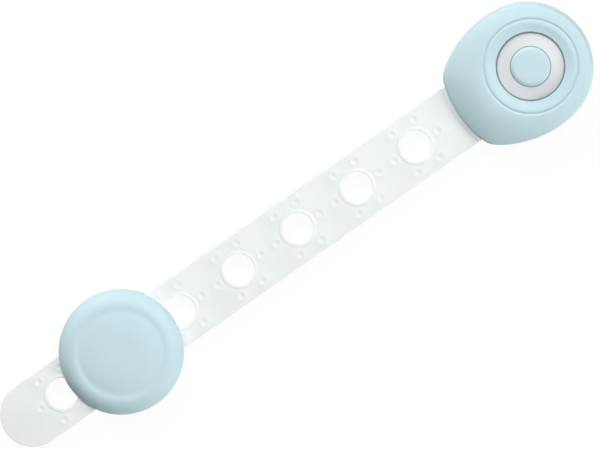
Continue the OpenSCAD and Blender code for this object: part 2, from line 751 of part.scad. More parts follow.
module strap_tongue() {
    throat = barb_w / 2;
    neck = neck_w / 2;
    half = [
        [-strap_end, throat], [taper_len - strap_end, neck], [barb_back, neck], [barb_back, throat],
        [barb_back + barb_land, throat], [barb_back + barb_len, barb_tip_w / 2]];
    other = [for (i = [len(half) - 1 : -1 : 0]) [half[i][0], -half[i][1]]];
    color("snow") union() {
        translate([0, 0, strap_z]) linear_extrude(strap_t) polygon(concat(half, other));
        translate([0, 0, strap_z + (strap_t - root_t) / 2]) linear_extrude(root_t) {
            root_plan();
            translate([-strap_end - sink, -throat]) square([2 * sink, 2 * throat]);
        }
    }
}

// Radii and heights of the anchor's pieces, from the strap's hole and the cap
cap_r = cap_d / 2;
cap_in_r = cap_r - cap_wall;
dome_end = cap_r - dome_inset;
edge_start = dome_end + ledge_w;
insert_r = cap_in_r - insert_inset;
flange_r = cap_in_r - slot_gap - run_gap;
post_r = hole_r - hole_gap;
socket_r = post_r + post_gap;
insert_z = strap_top + slot_gap;
insert_top = insert_z + insert_t;
post_top = strap_top + socket_depth;
socket_top = post_top + slot_gap + socket_roof;
cap_roof = socket_top + slide_gap;
dome_fall = cap_dome_r - sqrt(pow(cap_dome_r, 2) - pow(dome_end - cap_flat_r, 2));
ledge_z = cap_h - dome_fall - ledge_fall;
cap_side_z = ledge_z - cap_edge_h;
cap_steps = 6;

module anchor_pad() {
    color("gainsboro") translate([anchor_x, 0, 0]) cylinder(r = flange_r - pad_inset, h = pad_t);
}

module anchor_base() {
    color("whitesmoke") translate([anchor_x, 0, 0]) difference() {
        union() {
            translate([0, 0, pad_t]) cylinder(r = flange_r, h = floor_t);
            translate([0, 0, pad_t]) cylinder(r = post_r, h = post_top - pad_t);
        }
        translate([0, 0, floor_top]) cylinder(r = core_r, h = post_top);
    }
}

module anchor_insert() {
    stud_z = strap_top - dimple_depth + run_gap;
    color("white") translate([anchor_x, 0, 0]) difference() {
        union() {
            translate([0, 0, insert_z]) cylinder(r = insert_r, h = insert_t);
            translate([0, 0, insert_z]) cylinder(r = socket_r + socket_wall, h = socket_top - insert_z);
            for (d = [0 : dimple_count - 1]) rotate(d * 360 / dimple_count)
                translate([dimple_ring_r, 0, stud_z])
                    cylinder(d1 = dimple_d / 2, d2 = dimple_d - 2 * slot_gap, h = insert_z + sink - stud_z);
        }
        translate([0, 0, insert_z - past])
            cylinder(r = socket_r, h = past + post_top + slot_gap - insert_z);
        translate([0, 0, insert_z - past])
            cylinder(r = hole_r + rim_w + slot_gap, h = past + rim_top + slot_gap - insert_z);
    }
}

// A rounded edge of the cap in half section: a quarter ellipse from the top out to the side
function cap_edge(r_in, r_out, z_top) = [for (i = [0 : cap_steps])
    let (a = 90 * i / cap_steps)
    [r_in + (r_out - r_in) * sin(a), cap_side_z + (z_top - cap_side_z) * cos(a)]];

module anchor_cap() {
    dome_turn = asin((dome_end - cap_flat_r) / cap_dome_r);
    dome = [for (i = [0 : cap_steps])
        let (a = dome_turn * i / cap_steps)
        [cap_flat_r + cap_dome_r * sin(a), cap_h - cap_dome_r * (1 - cos(a))]];
    seat_r = insert_r + run_gap;
    shelf_r = insert_r - seat_wall;
    color([0.72, 0.84, 0.88]) translate([anchor_x, 0, 0]) difference() {
        union() {
            rotate_extrude() difference() {
                polygon(concat([[0, edge_z], [0, cap_h]], dome,
                    cap_edge(edge_start, cap_r, ledge_z), [[cap_r, edge_z]]));
                polygon(concat([[0, edge_z - past], [0, cap_roof]],
                    cap_edge(edge_start - ledge_w / 2, cap_in_r, cap_roof), [[cap_in_r, edge_z - past]]));
            }
            // Ring walls that hold the insert
            tube(seat_r + seat_wall, seat_r, [insert_z, cap_roof + sink]);
            tube(shelf_r, shelf_r - seat_wall, [insert_top, cap_roof + sink]);
        }
        block([-cap_r - past, cap_r + past], [-half_w - mouth_gap, half_w + mouth_gap],
            [edge_z - past, rim_top + slot_gap]);
    }
}

lock_pad();
lock_base();
button_frame();
lock_cover();
cover_screws();
ring_button();
ring_spring();
centre_button();
centre_spring();
left_latch();
left_latch_spring();
right_latch();
right_latch_spring();
strap();
strap_tongue();
anchor_pad();
anchor_base();
anchor_insert();
anchor_cap();
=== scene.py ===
import json
import math

import bmesh
import bpy
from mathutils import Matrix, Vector

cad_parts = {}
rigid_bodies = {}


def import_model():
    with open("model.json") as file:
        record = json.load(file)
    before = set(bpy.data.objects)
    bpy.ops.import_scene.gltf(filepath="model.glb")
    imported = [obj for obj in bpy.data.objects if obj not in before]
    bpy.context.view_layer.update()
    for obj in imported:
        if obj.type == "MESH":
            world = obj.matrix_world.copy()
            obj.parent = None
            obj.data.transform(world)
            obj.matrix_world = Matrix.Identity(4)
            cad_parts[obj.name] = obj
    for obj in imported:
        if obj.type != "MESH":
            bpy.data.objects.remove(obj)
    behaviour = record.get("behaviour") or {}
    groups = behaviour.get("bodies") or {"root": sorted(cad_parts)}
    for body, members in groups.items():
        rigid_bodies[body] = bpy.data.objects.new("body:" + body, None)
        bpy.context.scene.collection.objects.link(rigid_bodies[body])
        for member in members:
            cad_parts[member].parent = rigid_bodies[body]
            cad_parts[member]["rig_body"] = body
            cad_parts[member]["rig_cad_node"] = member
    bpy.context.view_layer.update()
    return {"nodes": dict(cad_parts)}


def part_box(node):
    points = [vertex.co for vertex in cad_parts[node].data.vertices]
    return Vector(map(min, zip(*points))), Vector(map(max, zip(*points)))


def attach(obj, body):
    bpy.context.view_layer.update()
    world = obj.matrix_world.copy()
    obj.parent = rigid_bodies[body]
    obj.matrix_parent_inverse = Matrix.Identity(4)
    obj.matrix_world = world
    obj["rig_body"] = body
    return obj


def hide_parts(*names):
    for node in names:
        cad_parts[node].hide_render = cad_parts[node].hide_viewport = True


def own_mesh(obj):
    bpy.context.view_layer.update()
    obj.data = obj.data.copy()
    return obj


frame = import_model()
mm = 0.001
near = {"weld": 0.002, "level": 0.005, "flatAngle": 0.5}  # what counts as one point, one height and one plane
print("frame loaded:", len(frame["nodes"]), "nodes")


# handling the mesh

def clearSelection():
    if bpy.context.object and bpy.context.object.mode != "OBJECT":
        bpy.ops.object.mode_set(mode="OBJECT")
    bpy.ops.object.select_all(action="DESELECT")


def makeActive(piece):
    clearSelection()
    piece.select_set(True)
    bpy.context.view_layer.objects.active = piece


def weldMesh():
    # in edit mode: doubled points become one, and the faces turn outward
    bpy.ops.mesh.select_all(action="SELECT")
    bpy.ops.mesh.remove_doubles(threshold=near["weld"] * mm)
    bpy.ops.mesh.normals_make_consistent(inside=False)


def arc(centre, radius, start, end, steps):
    # points of a circle's arc in a profile's plane, angles in degrees
    turns = [math.radians(start + (end - start) * k / steps) for k in range(steps + 1)]
    return [(centre[0] + radius * math.cos(t), centre[1] + radius * math.sin(t)) for t in turns]


def smoothStep(low, high, x):
    t = min(1, max(0, (x - low) / (high - low)))
    return t * t * (3 - 2 * t)


def spunPiece(name, profile, steps=128, closed=True):
    # one vertex is drawn out along the profile, in (radius, height), and spun round the upright axis
    clearSelection()
    bpy.ops.mesh.primitive_plane_add(size=mm, location=(0, 0, 0))
    piece = bpy.context.object
    piece.name = piece.data.name = name
    bpy.ops.object.mode_set(mode="EDIT")
    bpy.ops.mesh.select_all(action="SELECT")
    bpy.ops.mesh.merge(type="CENTER")
    points = [Vector((r * mm, 0, z * mm)) for r, z in profile]
    if closed:
        points.append(points[0])
    bpy.ops.transform.translate(value=points[0])
    for before, after in zip(points, points[1:]):
        bpy.ops.mesh.extrude_vertices_move(TRANSFORM_OT_translate={"value": after - before})
    bpy.ops.mesh.select_all(action="SELECT")
    bpy.ops.mesh.spin(steps=steps, angle=math.tau, center=(0, 0, 0), axis=(0, 0, 1))
    weldMesh()
    bpy.ops.object.mode_set(mode="OBJECT")
    return piece


def wrappedGrid(name, rows, closed=True):
    # a flat grid is wrapped so that each of its rows follows one ring of points
    wide, tall = len(rows[0]), len(rows)
    clearSelection()
    bpy.ops.mesh.primitive_grid_add(x_subdivisions=wide, y_subdivisions=tall - 1 + closed, size=mm)
    piece = bpy.context.object
    piece.name = piece.data.name = name
    places = []
    for row in rows + rows[:closed]:
        for point in row + row[:1]:
            places.extend(value * mm for value in point)
    piece.data.vertices.foreach_set("co", places)
    piece.data.update()
    bpy.ops.object.mode_set(mode="EDIT")
    weldMesh()
    bpy.ops.object.mode_set(mode="OBJECT")
    return piece


def fillFlat(piece, height):
    # closes the open edges that lie at one height with a flat face round the holes
    makeActive(piece)
    bpy.ops.object.mode_set(mode="EDIT")
    bpy.ops.mesh.select_mode(type="EDGE")
    bpy.ops.mesh.select_all(action="DESELECT")
    mesh = bmesh.from_edit_mesh(piece.data)
    for edge in mesh.edges:
        level = all(abs(v.co.z - height * mm) < near["level"] * mm for v in edge.verts)
        edge.select_set(edge.is_boundary and level)
    bmesh.update_edit_mesh(piece.data)
    bpy.ops.mesh.fill(use_beauty=True)
    bpy.ops.mesh.select_all(action="SELECT")
    bpy.ops.mesh.normals_make_consistent(inside=False)
    bpy.ops.mesh.select_mode(type="VERT")
    bpy.ops.object.mode_set(mode="OBJECT")


def joinPieces(pieces, name):
    clearSelection()
    for piece in pieces:
        piece.select_set(True)
    bpy.context.view_layer.objects.active = pieces[0]
    bpy.ops.object.join()
    pieces[0].name = pieces[0].data.name = name
    return pieces[0]


def applyModifier(piece, kind, settings):
    makeActive(piece)
    modifier = piece.modifiers.new(kind.title(), kind)
    for key, value in settings.items():
        setattr(modifier, key, value)
    bpy.ops.object.modifier_apply(modifier=modifier.name)


def smoothFaces(piece, degrees=32):
    makeActive(piece)
    bpy.ops.object.shade_smooth_by_angle(angle=math.radians(degrees))


def finishPiece(piece, material, body, nodes):
    piece.data.materials.clear()
    piece.data.materials.append(material)
    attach(piece, body)
    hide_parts(*nodes)
    print("made", piece.name, len(piece.data.polygons), "faces")


def cadCopy(node, name):
    # a free copy of a CAD piece, to be worked on
    clearSelection()
    source = frame["nodes"][node]
    piece = source.copy()
    piece.data = source.data.copy()
    piece.name = piece.data.name = name
    bpy.context.scene.collection.objects.link(piece)
    piece.parent = None
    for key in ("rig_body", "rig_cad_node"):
        del piece[key]
    makeActive(piece)
    bpy.ops.object.mode_set(mode="EDIT")
    bpy.ops.mesh.select_all(action="SELECT")
    bpy.ops.mesh.remove_doubles(threshold=near["weld"] * mm)
    bpy.ops.mesh.dissolve_limited(angle_limit=math.radians(near["flatAngle"]))
    bpy.ops.object.mode_set(mode="OBJECT")
    return piece


def roundEdges(piece, width, angle=40):
    # the small edge radius that a mould leaves
    applyModifier(piece, "BEVEL", {"width": width * mm, "segments": 2, "limit_method": "ANGLE",
                                   "angle_limit": math.radians(angle), "use_clamp_overlap": True})


def roundedCopy(node, material, body, width):
    piece = cadCopy(node, node + "_moulded")
    roundEdges(piece, width)
    smoothFaces(piece)
    finishPiece(piece, material, body, [node])


legCut = {"below": 0.01, "raised": 0.02, "within": 0.001}


def legsBelow(node, height, width):
    # the legs under a button's skirt, cut from a copy of its CAD piece and set a little into the skirt
    piece = cadCopy(node, node + "_legs")
    bpy.ops.object.mode_set(mode="EDIT")
    bpy.ops.mesh.select_all(action="SELECT")
    bpy.ops.mesh.bisect(plane_co=(0, 0, (height - legCut["below"]) * mm), plane_no=(0, 0, 1), use_fill=True,
                        clear_outer=True, threshold=legCut["within"] * mm)
    bpy.ops.mesh.select_all(action="SELECT")
    bpy.ops.transform.translate(value=(0, 0, legCut["raised"] * mm))
    bpy.ops.object.mode_set(mode="OBJECT")
    roundEdges(piece, width)
    return piece


# materials

class Value:
    # a shader socket that takes part in Python sums
    def __init__(self, finish, socket):
        self.finish = finish
        self.socket = socket

    def combine(self, operation, first, second):
        return self.finish.node("ShaderNodeMath", {"operation": operation}, {0: first, 1: second})

    def __add__(self, other):
        return self.combine("ADD", self, other)

    def __radd__(self, other):
        return self.combine("ADD", other, self)

    def __sub__(self, other):
        return self.combine("SUBTRACT", self, other)

    def __rsub__(self, other):
        return self.combine("SUBTRACT", other, self)

    def __mul__(self, other):
        return self.combine("MULTIPLY", self, other)

    def __rmul__(self, other):
        return self.combine("MULTIPLY", other, self)


class Finish:
    # the nodes of one material, or of the world
    def __init__(self, name, constants=None, family="materials"):
        self.made = getattr(bpy.data, family).new(name)
        self.made.use_nodes = True
        self.tree = self.made.node_tree
        self.output = next(node for node in self.tree.nodes if node.type.startswith("OUTPUT"))
        self.shader = self.output.inputs["Surface"].links[0].from_node
        for key, value in (constants or {}).items():
            self.shader.inputs[key].default_value = value

    def put(self, socket, value):
        if isinstance(value, Value):
            self.tree.links.new(value.socket, socket)
        else:
            socket.default_value = value

    def node(self, kind, settings=None, inputs=None, output=0):
        made = self.tree.nodes.new(kind)
        for key, value in (settings or {}).items():
            setattr(made, key, value)
        for key, value in (inputs or {}).items():
            self.put(made.inputs[key], value)
        return Value(self, made.outputs[output])

    def place(self):
        return self.node("ShaderNodeTexCoord", output="Object")

    def noise(self, scale, detail=2):
        return self.node("ShaderNodeTexNoise", {}, {"Vector": self.place(), "Scale": scale, "Detail": detail})

    def mixColour(self, factor, first, second):
        first, second = [c if isinstance(c, Value) else (*c, 1) for c in (first, second)]
        inputs = {"Factor": factor, 6: first, 7: second}  # sockets 6 and 7 are the colours, output 2 their mix
        return self.node("ShaderNodeMix", {"data_type": "RGBA"}, inputs, output=2)

    def bump(self, height, strength, distance):
        inputs = {"Height": height, "Strength": strength, "Distance": distance * mm}
        return self.node("ShaderNodeBump", {}, inputs)

    def drive(self, **sockets):
        for key, value in sockets.items():
            self.put(self.shader.inputs[key.replace("_", " ")], value)

    def seen(self):
        # 1 for the camera and for what it sees in a mirror or through glass, 0 for light
        rays = "Is Camera Ray", "Is Glossy Ray", "Is Transmission Ray"
        straight, mirrored, through = [self.node("ShaderNodeLightPath", output=ray) for ray in rays]
        settings = {"operation": "ADD", "use_clamp": True}
        return self.node("ShaderNodeMath", settings, {0: straight + mirrored, 1: through})

    def surface(self, shader):
        self.put(self.output.inputs["Surface"], shader)
        self.tree.nodes.remove(self.shader)


def mouldedPlastic(name, look):
    # moulded plastic: an even colour with a faint cloudiness and the fine grain of a sanded mould
    finish = Finish(name, {"IOR": look["ior"], "Specular IOR Level": look["gloss"]})
    cloud = finish.noise(look["cloudScale"])
    grain = finish.noise(look["grainScale"], look["grainDetail"])
    deep = [c * look["cloudDepth"] for c in look["colour"]]
    colour = finish.mixColour(cloud, deep, look["colour"])
    if "paintedLightColour" in look:  # painted light: faces above the strap's top, mostly the shoulder in the shade of the lock's nose, get a whiter colour that lifts that shade
        height = finish.node("ShaderNodeSeparateXYZ", {}, {0: finish.place()}, output="Z")
        low, high = (value * mm for value in look["paintedLightFrom"])
        paintedLightShare = finish.node("ShaderNodeMapRange", {}, {"Value": height, "From Min": low, "From Max": high})
        colour = finish.mixColour(paintedLightShare, colour, look["paintedLightColour"])
    unevenness = (grain - 0.5) * look["roughnessSpread"]
    finish.drive(Base_Color=colour,
                 Roughness=look["roughness"] + unevenness + (cloud - 0.5) * look["cloudRoughness"],
                 Normal=finish.bump(grain, look["grainStrength"], look["grainHeight"]))
    return finish.made


plasticLook = {"cloudScale": 45, "cloudDepth": 0.975, "cloudRoughness": 0.06,
               "grainScale": 3200, "grainDetail": 3, "grainStrength": 0.12, "grainHeight": 0.012,
               "roughness": 0.6, "roughnessSpread": 0.16, "gloss": 0.22, "ior": 1.47}
bluePlastic = mouldedPlastic("bluePlastic", {**plasticLook, "colour": (0.515, 0.685, 0.72)})
buttonWhite = mouldedPlastic("buttonWhite", {**plasticLook, "colour": (0.68, 0.695, 0.715)})
# the strap's whiter colour above its top face is painted light, lifting the shade by the lock's nose
strapPlastic = mouldedPlastic("strapPlastic", {
    **plasticLook, "colour": (0.79, 0.817, 0.826), "roughness": 0.65,
    "paintedLightColour": (0.93, 0.945, 0.955), "paintedLightFrom": (4.7, 4.95)})
whitePlastic = mouldedPlastic("whitePlastic", {**plasticLook, "colour": (0.80, 0.815, 0.805)})
latchPlastic = mouldedPlastic("latchPlastic", {
    **plasticLook, "colour": (0.72, 0.69, 0.60), "roughness": 0.45})


def drawnSteel(name, look):
    # zinc-bright steel, with fine drawing marks
    finish = Finish(name, {"Metallic": 1.0})
    stretched = finish.node("ShaderNodeMapping", {}, {"Vector": finish.place(), "Scale": look["stretch"]})
    marks = finish.node("ShaderNodeTexNoise", {},
                        {"Vector": stretched, "Scale": look["scale"], "Detail": look["detail"]})
    finish.drive(Base_Color=finish.mixColour(marks, look["dark"], look["light"]),
                 Roughness=look["roughness"] + (marks - 0.5) * look["roughnessSpread"],
                 Normal=finish.bump(marks, look["markStrength"], look["markHeight"]))
    return finish.made


steelLook = {"detail": 3.0, "roughnessSpread": 0.2, "markStrength": 0.15, "markHeight": 0.008}
springSteel = drawnSteel("springSteel", {
    **steelLook, "stretch": (1, 1, 6), "scale": 900, "roughness": 0.3,
    "dark": (0.36, 0.37, 0.39), "light": (0.62, 0.63, 0.65)})
screwSteel = drawnSteel("screwSteel", {
    **steelLook, "stretch": (1, 1, 1), "scale": 1400, "roughness": 0.34,
    "dark": (0.45, 0.45, 0.43), "light": (0.66, 0.66, 0.65)})


def closedCellFoam(name, look):
    # adhesive foam: tiny closed cells, matt
    finish = Finish(name, {"Specular IOR Level": look["gloss"]})
    cells = finish.node("ShaderNodeTexVoronoi", {"feature": "F1"},
                        {"Vector": finish.place(), "Scale": look["cellScale"]})
    cloud = finish.noise(look["cloudScale"])
    tone = cells * look["cellShare"] + cloud * look["cloudShare"]
    finish.drive(Base_Color=finish.mixColour(tone, look["light"], look["dark"]),
                 Roughness=look["roughness"] + (cloud - 0.5) * look["roughnessSpread"],
                 Normal=finish.bump(cells, look["cellStrength"], look["cellHeight"]))
    return finish.made


foamPlastic = closedCellFoam("foamPlastic", {
    "cellScale": 2600, "cellShare": 0.8, "cellStrength": 0.5, "cellHeight": 0.1,
    "cloudScale": 60, "cloudShare": 0.2, "light": (0.74, 0.74, 0.71), "dark": (0.60, 0.60, 0.57),
    "roughness": 0.82, "roughnessSpread": 0.1, "gloss": 0.2})
print("materials ready")


# camera, floor and light

view = {"angles": (-2.0, 0.8, -35.02), "middle": (-85.43, 0.73, 9.0), "width": 183.25,
        "lens": 1000, "sensor": 36, "farthest": 50}
bpy.ops.object.camera_add(rotation=[math.radians(angle) for angle in view["angles"]])
camera = bpy.context.object
camera.data.lens = view["lens"]
camera.data.sensor_width = view["sensor"]
camera.data.clip_end = view["farthest"]
backward = camera.rotation_euler.to_matrix() @ Vector((0, 0, 1))
camera.location = (Vector(view["middle"]) + backward * view["width"] * view["lens"] / view["sensor"]) * mm
bpy.context.scene.camera = camera

backdrop = {"size": 6.0, "below": 0.05, "glow": 0.93, "shade": 0.075, "bounce": 0.65, "fill": 0.02}
clearSelection()
bpy.ops.mesh.primitive_plane_add(size=backdrop["size"], location=(0, 0, -backdrop["below"] * mm))
floor = bpy.context.object
floor.name = floor.data.name = "floor"


def paleFloor():
    finish = Finish("paleFloor")
    glow = finish.node("ShaderNodeEmission", {}, {"Strength": backdrop["glow"]})
    shade = finish.node("ShaderNodeBsdfDiffuse", {}, {"Color": (backdrop["shade"],) * 3 + (1,)})
    bright = finish.node("ShaderNodeAddShader", {}, {0: glow, 1: shade})
    plain = finish.node("ShaderNodeBsdfDiffuse", {}, {"Color": (backdrop["bounce"],) * 3 + (1,)})
    top = finish.node("ShaderNodeMixShader", {}, {"Fac": finish.seen(), 1: plain, 2: bright})
    clear = finish.node("ShaderNodeBsdfTransparent")
    back = finish.node("ShaderNodeNewGeometry", output="Backfacing")
    finish.surface(finish.node("ShaderNodeMixShader", {}, {"Fac": back, 1: top, 2: clear}))
    return finish.made


def studioWorld():
    finish = Finish("studio", family="worlds")
    white = finish.node("ShaderNodeBackground", {}, {"Color": (1, 1, 1, 1), "Strength": 1.0})
    soft = finish.node("ShaderNodeBackground", {}, {"Color": (1, 1, 1, 1), "Strength": backdrop["fill"]})
    finish.surface(finish.node("ShaderNodeMixShader", {}, {"Fac": finish.seen(), 1: soft, 2: white}))
    return finish.made


floor.data.materials.append(paleFloor())
bpy.context.scene.world = studioWorld()

lamps = {  # azimuth and elevation in degrees about the object, power in watts
    "softBoxRightLow": {"azimuth": -70, "elevation": 15, "power": 21.0},
    "softBoxAbove": {"azimuth": 0, "elevation": 75, "power": 9.9},
    "softBoxLeftLow": {"azimuth": 85, "elevation": 15, "power": 9.9},
    "softBoxLeftHigh": {"azimuth": 85, "elevation": 40, "power": 15.2},
    "softBoxBack": {"azimuth": 20, "elevation": 40, "power": 4.8},
}
lampSize, lampDistance = 1.2, 1.6  # metres
aim = Vector((-0.085, 0, 0.005))
for name, lamp in lamps.items():
    azimuth, elevation = math.radians(lamp["azimuth"]), math.radians(lamp["elevation"])
    outward = Vector((math.cos(azimuth) * math.cos(elevation), math.sin(azimuth) * math.cos(elevation),
                      math.sin(elevation)))
    clearSelection()
    bpy.ops.object.light_add(type="AREA", location=aim + outward * lampDistance,
                             rotation=outward.to_track_quat("Z", "Y").to_euler())
    bpy.context.object.name = name
    bpy.context.object.data.shape = "DISK"
    bpy.context.object.data.size = lampSize
    bpy.context.object.data.energy = lamp["power"]
print("camera, floor and lamps ready")


# the lock's cover: a drop-shaped shell, lofted from its foot over the crown into the button bore

cover = {"frontRadius": 20.2, "frontBack": 1.2, "sideRadius": 33, "sideFrom": 81.9, "noseRadius": 34,
         "noseReach": 26.7, "cornerPower": 60, "wall": 1.6, "footHeight": 1.2, "crownHeight": 15.6,
         "crownRadius": 15.2, "frontSlope": (6, 10), "sideSlope": (14, 30), "noseSlope": (4, 42),
         "shoulderRadius": 1.6, "lean": 2.5,
         "grooveRadius": 14.45, "grooveHalf": 0.65, "grooveDepth": 0.4,
         "lipCrest": 13.6, "lipDrop": 0.78, "lipEdge": 0.3, "boreRadius": 10.65,
         "collarRadius": 12.0, "collarHeight": 13.0, "mouthHalf": 10.3, "mouthHeight": 5.4, "mouthBlend": 0.25,
         "mouthStep": 0.01, "mouthKeep": 0.05, "leastSpread": 0.001, "columns": 240, "cornerFrom": 120,
         "cornerHalvings": 50, "cornerClear": 2.2, "cornerTurn": 0.2, "cornerTurns": 10, "wallSteps": 14,
         "grooveSteps": 12, "lipSteps": 24, "smoothAngle": 38}


def rayToCircle(centre, radius, angle):
    along = centre[0] * math.cos(angle) + centre[1] * math.sin(angle)
    return along + math.sqrt(along ** 2 - centre[0] ** 2 - centre[1] ** 2 + radius ** 2)


def outlineReach(angle):
    # distance from the front's centre to the lock's outline
    turn = abs((angle + math.pi) % math.tau - math.pi)
    if turn <= math.radians(cover["sideFrom"]):
        return cover["frontRadius"]
    toSide = math.radians(180 + cover["sideFrom"])
    beyond = cover["sideRadius"] - cover["frontRadius"]
    side = rayToCircle((beyond * math.cos(toSide), beyond * math.sin(toSide)), cover["sideRadius"], turn)
    noseCentre = cover["noseRadius"] - cover["noseReach"] + cover["frontBack"]
    nose = rayToCircle((noseCentre, 0), cover["noseRadius"], turn)
    power = cover["cornerPower"]
    return (side ** -power + nose ** -power) ** (-1 / power)


def outlinePoint(angle, inset=0):
    reach = outlineReach(angle) - inset
    return Vector((reach * math.cos(angle) - cover["frontBack"], reach * math.sin(angle)))


def coverColumns():
    # even turns, closer together at the two corners of the strap's mouth, which halving finds
    low, high = math.radians(cover["cornerFrom"]), math.pi
    for _ in range(cover["cornerHalvings"]):
        middle = (low + high) / 2
        low, high = (middle, high) if outlinePoint(middle).y > cover["mouthHalf"] else (low, middle)
    angles = [math.tau * k / cover["columns"] for k in range(cover["columns"])]
    many = cover["cornerTurns"]
    for corner in (low, math.tau - low):
        angles = [a for a in angles if abs(a - corner) > math.radians(cover["cornerClear"])]
        angles += [corner + math.radians(cover["cornerTurn"] * k) for k in range(-many, many + 1)]
    return sorted(angles)


def coverDome(angle, inset, foot):
    # points (distance out, height) of the shell's side, from the crown down to the foot
    steps = cover["wallSteps"]
    across = math.cos(angle)
    front, nose, side = max(0, across) ** 2, max(0, -across) ** 2, math.sin(angle) ** 2
    slopes = [front * f + nose * n + side * s
              for f, n, s in zip(cover["frontSlope"], cover["noseSlope"], cover["sideSlope"])]
    start, end = (math.tan(math.radians(t)) for t in slopes)
    lean = math.tan(math.radians(cover["lean"]))
    edge, first, steep = cover["shoulderRadius"], math.atan(end), math.radians(90 - cover["lean"])
    top = cover["crownHeight"] - inset
    length = (outlinePoint(angle, inset) - (cover["crownRadius"] - inset)
              * Vector((math.cos(angle), math.sin(angle)))).length
    edgeRun = edge * (math.sin(steep) - math.sin(first))
    edgeFall = edge * (math.cos(first) - math.cos(steep))
    mean = (start + end) / 2
    wall = (top - cover["footHeight"] - edgeFall - mean * (length - edgeRun)) / (1 - mean * lean)
    wallTop = cover["footHeight"] + wall
    dome = length - edgeRun - wall * lean
    points = []
    for k in range(steps):
        out = dome * k / steps
        points.append((out, top - start * out - (end - start) * out ** 2 / (2 * dome)))
    for k in range(steps):
        tilt = first + (steep - first) * k / (steps - 1)
        points.append((dome + edge * (math.sin(tilt) - math.sin(first)),
                       wallTop + edge * (math.cos(tilt) - math.cos(steep))))
    for k in range(1, steps + 1):
        down = wallTop + (foot - wallTop) * k / steps
        points.append((length - (down - cover["footHeight"]) * lean, down))
    return points


def coverLip():
    # profile from the crown over the groove and the lip's bead into the bore, in (radius, height)
    top, half = cover["crownHeight"], cover["grooveHalf"]
    points = []
    for k in range(cover["grooveSteps"] + 1):
        off = half - 2 * half * k / cover["grooveSteps"]
        dip = cover["grooveDepth"] * math.cos(math.pi / 2 * off / half) ** 2
        points.append((cover["grooveRadius"] + off, top - dip))
    crest, edge, bore = cover["lipCrest"], cover["lipEdge"], cover["boreRadius"]
    for k in range(1, cover["lipSteps"] + 1):
        radius = crest + (bore + edge - crest) * k / cover["lipSteps"]
        points.append((radius, top - cover["lipDrop"] * smoothStep(crest, bore, radius)))
    points += arc((bore + edge, points[-1][1] - edge), edge, 90, 180, 6)
    points += [(bore, cover["collarHeight"]), (cover["collarRadius"], cover["collarHeight"]),
               (cover["collarRadius"], top - cover["wall"])]
    return points


def mouthSide(inside, outside):
    # the foot between the two walls, with an upright step at the side of the strap's mouth
    spread = max(abs(outside.y) - abs(inside.y), cover["leastSpread"])
    keep, step = cover["mouthKeep"], cover["mouthStep"]
    across = min(max((cover["mouthHalf"] - abs(inside.y)) / spread, keep), 1 - keep)
    steps = [(across - step, inside.z), (across + step, outside.z)]
    return [(*inside.lerp(outside, part).xy, height) for part, height in steps]


def lockCover():
    columns = []
    lip = coverLip()
    for angle in coverColumns():
        toward = Vector((math.cos(angle), math.sin(angle)))
        walls = []
        for inset in (0, cover["wall"]):
            beside = abs(outlinePoint(angle, inset).y) - cover["mouthHalf"]
            atMouth = smoothStep(cover["mouthBlend"], -cover["mouthBlend"], beside) * (math.cos(angle) < 0)
            foot = cover["footHeight"] + (cover["mouthHeight"] - cover["footHeight"]) * atMouth
            start = (cover["crownRadius"] - inset) * toward
            outward = (outlinePoint(angle, inset) - start).normalized()
            walls.append([(*(start + outward * out), height) for out, height in coverDome(angle, inset, foot)])
        outer, inner = walls
        under = mouthSide(Vector(inner[-1]), Vector(outer[-1]))
        bore = [(r * toward.x, r * toward.y, z) for r, z in lip]
        columns.append(inner + under + outer[::-1] + bore)
    piece = wrappedGrid("lockCover", [list(row) for row in zip(*columns)])
    smoothFaces(piece, cover["smoothAngle"])
    finishPiece(piece, bluePlastic, "lock_housing", ["lock_cover"])


lockCover()


# the two push buttons

ringButton = {"inner": 6.24, "outer": 10.28, "top": 14.8, "fall": 0.95, "innerEdge": 0.08, "outerEdge": 0.5,
              "outerLift": 0.04, "bottom": 10.9, "innerWall": 0.8, "outerWall": 1.2, "ceiling": 13.2,
              "keepRadius": 11.25, "keepTop": 12.9, "legEdge": 0.08}


def ringButtonPiece():
    p = ringButton
    tilt = math.degrees(math.atan(p["fall"] / (p["outer"] - p["inner"])))
    outerTop = p["top"] - p["fall"]
    innerAt = p["inner"] + p["innerEdge"], p["top"] - p["innerEdge"]
    outerAt = p["outer"] - p["outerEdge"], outerTop - p["outerEdge"] + p["outerLift"]
    profile = arc(innerAt, p["innerEdge"], 180, 90 - tilt, 6)
    profile += arc(outerAt, p["outerEdge"], 90 - tilt, 0, 8)
    profile += [(p["outer"], p["keepTop"]), (p["keepRadius"], p["keepTop"]), (p["keepRadius"], p["bottom"]),
                (p["outer"] - p["outerWall"], p["bottom"]), (p["outer"] - p["outerWall"], p["ceiling"]),
                (p["inner"] + p["innerWall"], p["ceiling"]), (p["inner"] + p["innerWall"], p["bottom"]),
                (p["inner"], p["bottom"])]
    piece = joinPieces([spunPiece("ringButton", profile, steps=160),
                        legsBelow("ring_button", p["bottom"], p["legEdge"])], "ringButton")
    smoothFaces(piece)
    finishPiece(piece, buttonWhite, "ring", ["ring_button"])


ringButtonPiece()

centreButton = {"radius": 6.11, "top": 16.0, "edge": 1.4, "edgeHeight": 0.9, "crown": 0.05, "bottom": 10.9,
                "wall": 1.2, "ceiling": 13.4, "legEdge": 0.08, "crownSteps": 6, "edgeSteps": 14}


